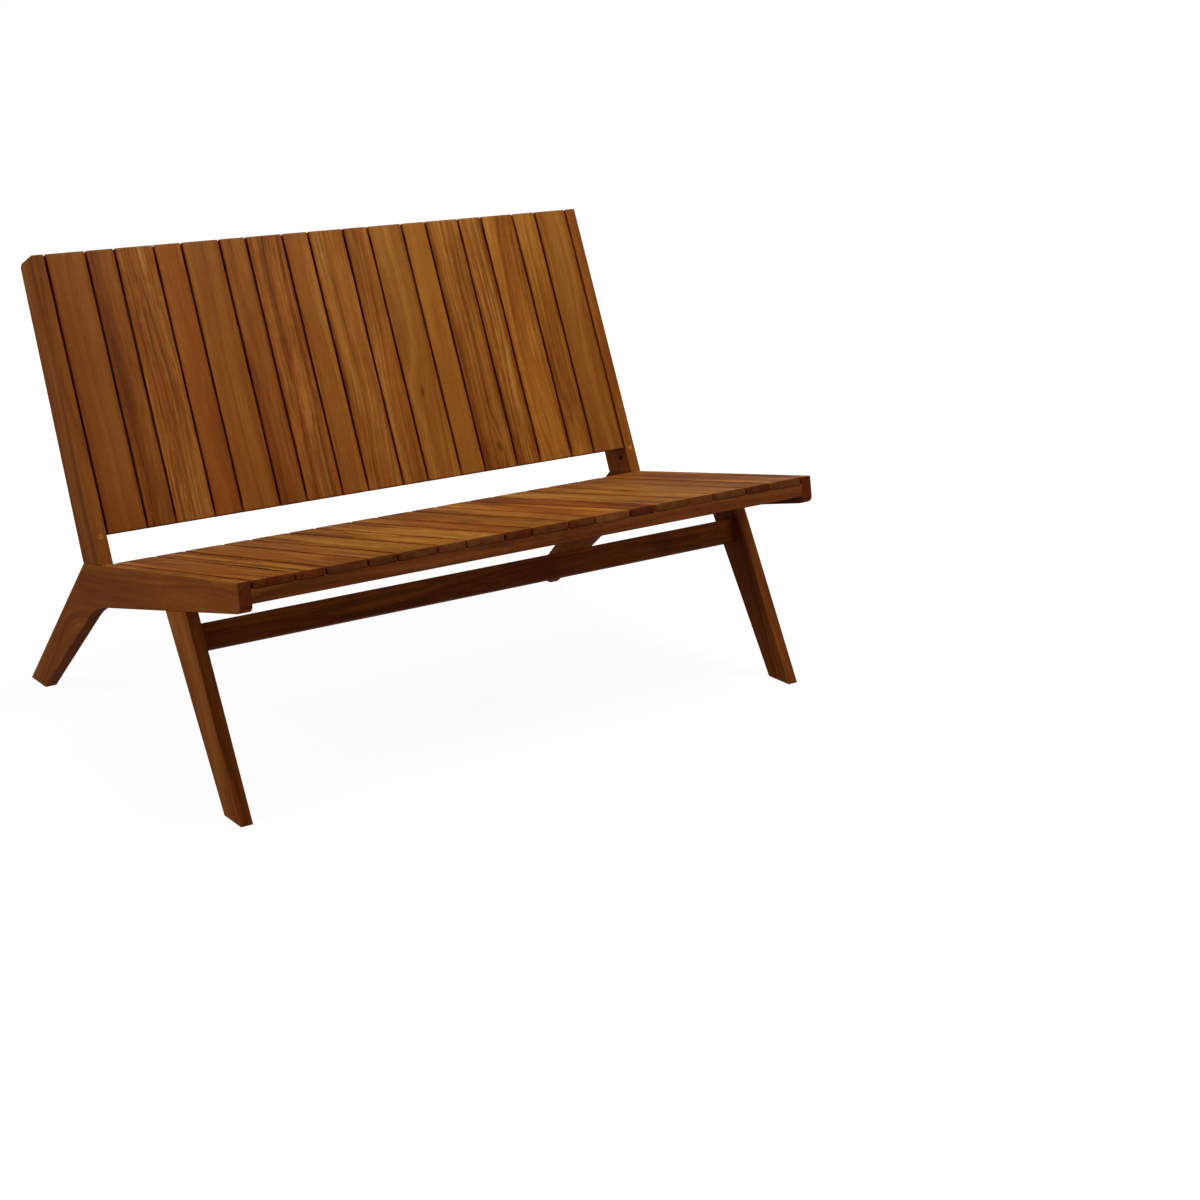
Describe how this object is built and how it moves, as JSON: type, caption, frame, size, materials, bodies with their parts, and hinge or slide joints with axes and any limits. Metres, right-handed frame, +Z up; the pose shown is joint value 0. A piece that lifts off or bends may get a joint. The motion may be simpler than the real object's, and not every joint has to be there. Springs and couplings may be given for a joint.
{
  "type": "companion seat bench",
  "caption": "Low two-seat slatted wooden bench with a sloping seat, a leaning back, raked rear legs in one piece with the seat rails, and raked front legs joined by a stretcher.",
  "frame": {"origin": "centre of the bench's footprint box, on the floor", "axes": "+X to the sitter's left along the bench, which is to the right as seen from the front; -Y is the front; +Z is up"},
  "size_m": [1.129, 0.7528, 0.7568],
  "materials": {
    "frame_wood": "oiled, satin",
    "seat_slat_wood": "oiled, satin",
    "back_slat_wood": "oiled, satin",
    "rail_wood": "oiled, satin",
    "plug_wood": "oiled, end grain",
    "dowel_wood": "plain, ribbed",
    "screw_steel": "zinc plated",
    "bolt_steel": "zinc plated"
  },
  "bodies": {
    "root": {"side_frame_left": "frame_wood", "side_frame_right": "frame_wood", "front_leg_left": "frame_wood", "front_leg_right": "frame_wood", "back_post_left": "frame_wood", "back_post_right": "frame_wood", "leg_stretcher": "rail_wood", "seat_bearer_front": "rail_wood", "seat_bearer_middle": "rail_wood", "seat_bearer_rear": "rail_wood", "back_rail_bottom": "rail_wood", "back_rail_middle": "rail_wood", "back_rail_top": "rail_wood", "seat_slat_01": "seat_slat_wood", "seat_slat_02": "seat_slat_wood", "seat_slat_03": "seat_slat_wood", "seat_slat_04": "seat_slat_wood", "seat_slat_05": "seat_slat_wood", "seat_slat_06": "seat_slat_wood", "seat_slat_07": "seat_slat_wood", "seat_slat_08": "seat_slat_wood", "seat_slat_09": "seat_slat_wood", "seat_slat_10": "seat_slat_wood", "seat_slat_11": "seat_slat_wood", "seat_slat_12": "seat_slat_wood", "seat_slat_13": "seat_slat_wood", "seat_slat_14": "seat_slat_wood", "seat_slat_15": "seat_slat_wood", "seat_slat_16": "seat_slat_wood", "seat_slat_17": "seat_slat_wood", "back_slat_01": "back_slat_wood", "back_slat_02": "back_slat_wood", "back_slat_03": "back_slat_wood", "back_slat_04": "back_slat_wood", "back_slat_05": "back_slat_wood", "back_slat_06": "back_slat_wood", "back_slat_07": "back_slat_wood", "back_slat_08": "back_slat_wood", "back_slat_09": "back_slat_wood", "back_slat_10": "back_slat_wood", "back_slat_11": "back_slat_wood", "back_slat_12": "back_slat_wood", "back_slat_13": "back_slat_wood", "back_slat_14": "back_slat_wood", "back_slat_15": "back_slat_wood", "back_slat_16": "back_slat_wood", "back_slat_17": "back_slat_wood", "post_plugs": "plug_wood", "seat_bearer_dowels": "dowel_wood", "back_rail_dowels": "dowel_wood", "stretcher_dowels": "dowel_wood", "leg_dowels": "dowel_wood", "post_dowels": "dowel_wood", "seat_slat_screws": "screw_steel", "back_slat_screws": "screw_steel", "post_cross_screws": "screw_steel", "post_bolts": "bolt_steel", "post_cross_nuts": "bolt_steel"}
  },
  "joints": []
}
